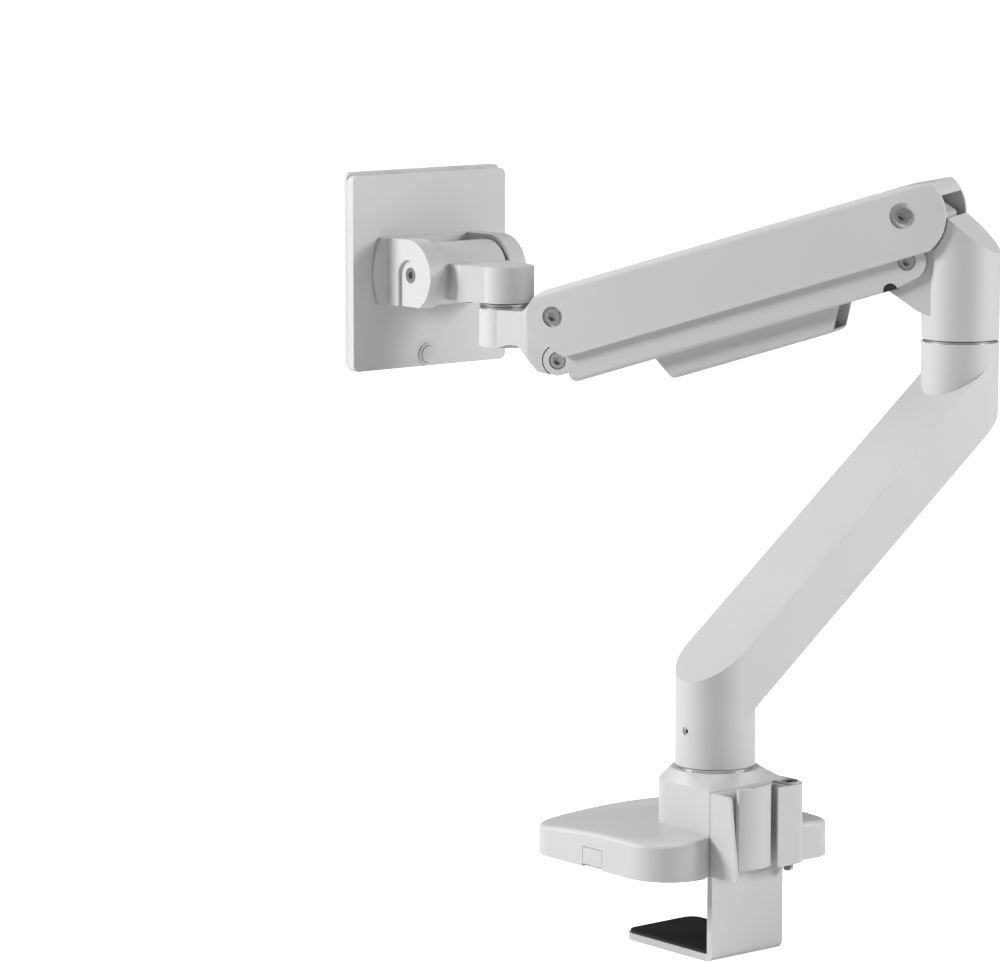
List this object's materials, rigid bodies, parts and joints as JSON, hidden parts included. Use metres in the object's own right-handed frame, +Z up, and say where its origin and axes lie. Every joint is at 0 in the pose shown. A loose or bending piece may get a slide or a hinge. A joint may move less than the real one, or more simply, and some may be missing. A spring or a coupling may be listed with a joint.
{
  "type": "desk monitor arm",
  "caption": "Desk-clamped monitor arm with an inclined lower arm, a spring-balanced parallelogram upper arm and a tilting, rotating mounting head.",
  "frame": {"origin": "where the column's axis meets the desk top", "axes": "+Z up, -Y towards the user and the monitor, +X along the desk edge"},
  "size_m": [0.2783, 0.3741, 0.4191],
  "materials": {
    "paint": "satin",
    "plastic": "satin",
    "steel": "satin",
    "zinc": "satin",
    "black_plastic": "matte",
    "rubber": "matte"
  },
  "bodies": {
    "base": {"base_housing": "paint", "base_plate": "steel", "desk_pad": "rubber", "base_screws": "zinc", "column_spindle": "steel", "base_washer": "zinc", "cable_holder": "plastic"},
    "clamp_screw": {"clamp_screw": "steel", "clamp_clip": "steel"},
    "jaw": {"clamp_jaw": "paint", "jaw_pad": "rubber", "clamp_nut": "steel"},
    "tray": {"key_tray": "plastic", "hex_key": "steel"},
    "lower_arm": {"lower_arm": "paint", "lower_arm_bush": "black_plastic", "lower_arm_grub_screw": "zinc", "elbow_spindle": "steel", "elbow_washer": "zinc"},
    "elbow": {"elbow_housing": "paint", "elbow_bush": "black_plastic", "elbow_upper_bushes": "black_plastic", "elbow_lower_bushes": "black_plastic", "spring_pin": "steel"},
    "upper_beam": {"upper_beam_cover": "paint", "upper_pivot_bolts": "zinc", "gas_spring_tube": "steel", "spring_anchor": "steel"},
    "spring_rod": {"spring_rod": "steel"},
    "lower_link": {"lower_link_cover": "plastic", "link_plugs": "black_plastic", "lower_pivot_bolts": "zinc", "cable_cover": "plastic"},
    "bracket": {"front_bracket": "paint", "bracket_upper_bushes": "black_plastic", "bracket_lower_bushes": "black_plastic", "head_spindle": "steel", "head_washers": "zinc"},
    "knuckle": {"swivel_knuckle": "paint", "knuckle_bush": "black_plastic", "knuckle_grub_screw": "zinc"},
    "tilt": {"tilt_bracket": "paint", "tilt_bolt": "zinc", "tilt_nut": "zinc", "friction_washers": "black_plastic", "rotation_spindle": "steel", "rotation_washer": "steel", "rotation_screw": "zinc"},
    "head_plate": {"head_plate": "paint"},
    "button": {"release_button": "plastic"},
    "adapter": {"adapter_plate": "paint", "adapter_rails": "steel"}
  },
  "joints": [
    {"name": "base_swivel", "type": "hinge", "parent": "base", "child": "lower_arm", "pos_m": [0, 0, 0.06], "axis": [0, 0, 1], "range_deg": [-150, 120]},
    {"name": "elbow_swivel", "type": "hinge", "parent": "lower_arm", "child": "elbow", "pos_m": [-0.19151, -0.00378, 0.28], "axis": [0, 0, 1], "range_deg": [-110, 110]},
    {"name": "lift", "type": "hinge", "parent": "elbow", "child": "upper_beam", "pos_m": [-0.17696, -0.02851, 0.3514], "axis": [0.8618, 0.5072, 0], "range_deg": [-50, 15]},
    {"name": "link_pivot", "type": "hinge", "parent": "elbow", "child": "lower_link", "pos_m": [-0.17797, -0.02679, 0.3251], "axis": [0.8618, 0.5072, 0], "range_deg": [-51, 16]},
    {"name": "bracket_level", "type": "hinge", "parent": "upper_beam", "child": "bracket", "pos_m": [-0.06958, -0.21095, 0.28587], "axis": [0.8618, 0.5072, 0], "range_deg": [-16, 51]},
    {"name": "spring_stroke", "type": "slide", "parent": "upper_beam", "child": "spring_rod", "axis": [0.4846, -0.8233, -0.2957], "range_m": [-0.016, 0.006]},
    {"name": "head_swivel", "type": "hinge", "parent": "bracket", "child": "knuckle", "pos_m": [-0.0503, -0.2437, 0.29], "axis": [0, 0, 1], "range_deg": [-54, 100]},
    {"name": "tilt", "type": "hinge", "parent": "knuckle", "child": "tilt", "pos_m": [-0.0503, -0.2909, 0.3054], "axis": [1, 0, 0], "range_deg": [-30, 25]},
    {"name": "plate_rotation", "type": "hinge", "parent": "tilt", "child": "head_plate", "pos_m": [-0.0503, -0.3163, 0.3054], "axis": [0, 1, 0], "range_deg": [-90, 90]},
    {"name": "release_button", "type": "slide", "parent": "head_plate", "child": "button", "axis": [0, -1, 0], "range_m": [0, 0.002], "stiffness_N_per_m": 800, "springref_m": -0.001},
    {"name": "quick_release", "type": "slide", "parent": "head_plate", "child": "adapter", "axis": [0, 0, 1], "range_m": [0, 0.025]},
    {"name": "clamp_screw_turn", "type": "hinge", "parent": "base", "child": "clamp_screw", "pos_m": [-0.0252, 0.0331, 0.03], "axis": [0, 0, 1], "range_deg": [-8700, 1140]},
    {"name": "jaw_slide", "type": "slide", "parent": "base", "child": "jaw", "axis": [0, 0, 1], "range_m": [-0.003, 0.024]},
    {"name": "key_tray_slide", "type": "slide", "parent": "base", "child": "tray", "axis": [1, 0, 0], "range_m": [0, 0.045]}
  ],
  "couplings": [
    {"joint": "link_pivot", "follows": "lift", "ratio": 1},
    {"joint": "bracket_level", "follows": "lift", "ratio": -1},
    {"joint": "spring_stroke", "follows": "lift", "m_per_rad": 0.0153},
    {"joint": "clamp_screw_turn", "follows": "jaw_slide", "rad_per_m": -6283.2}
  ]
}
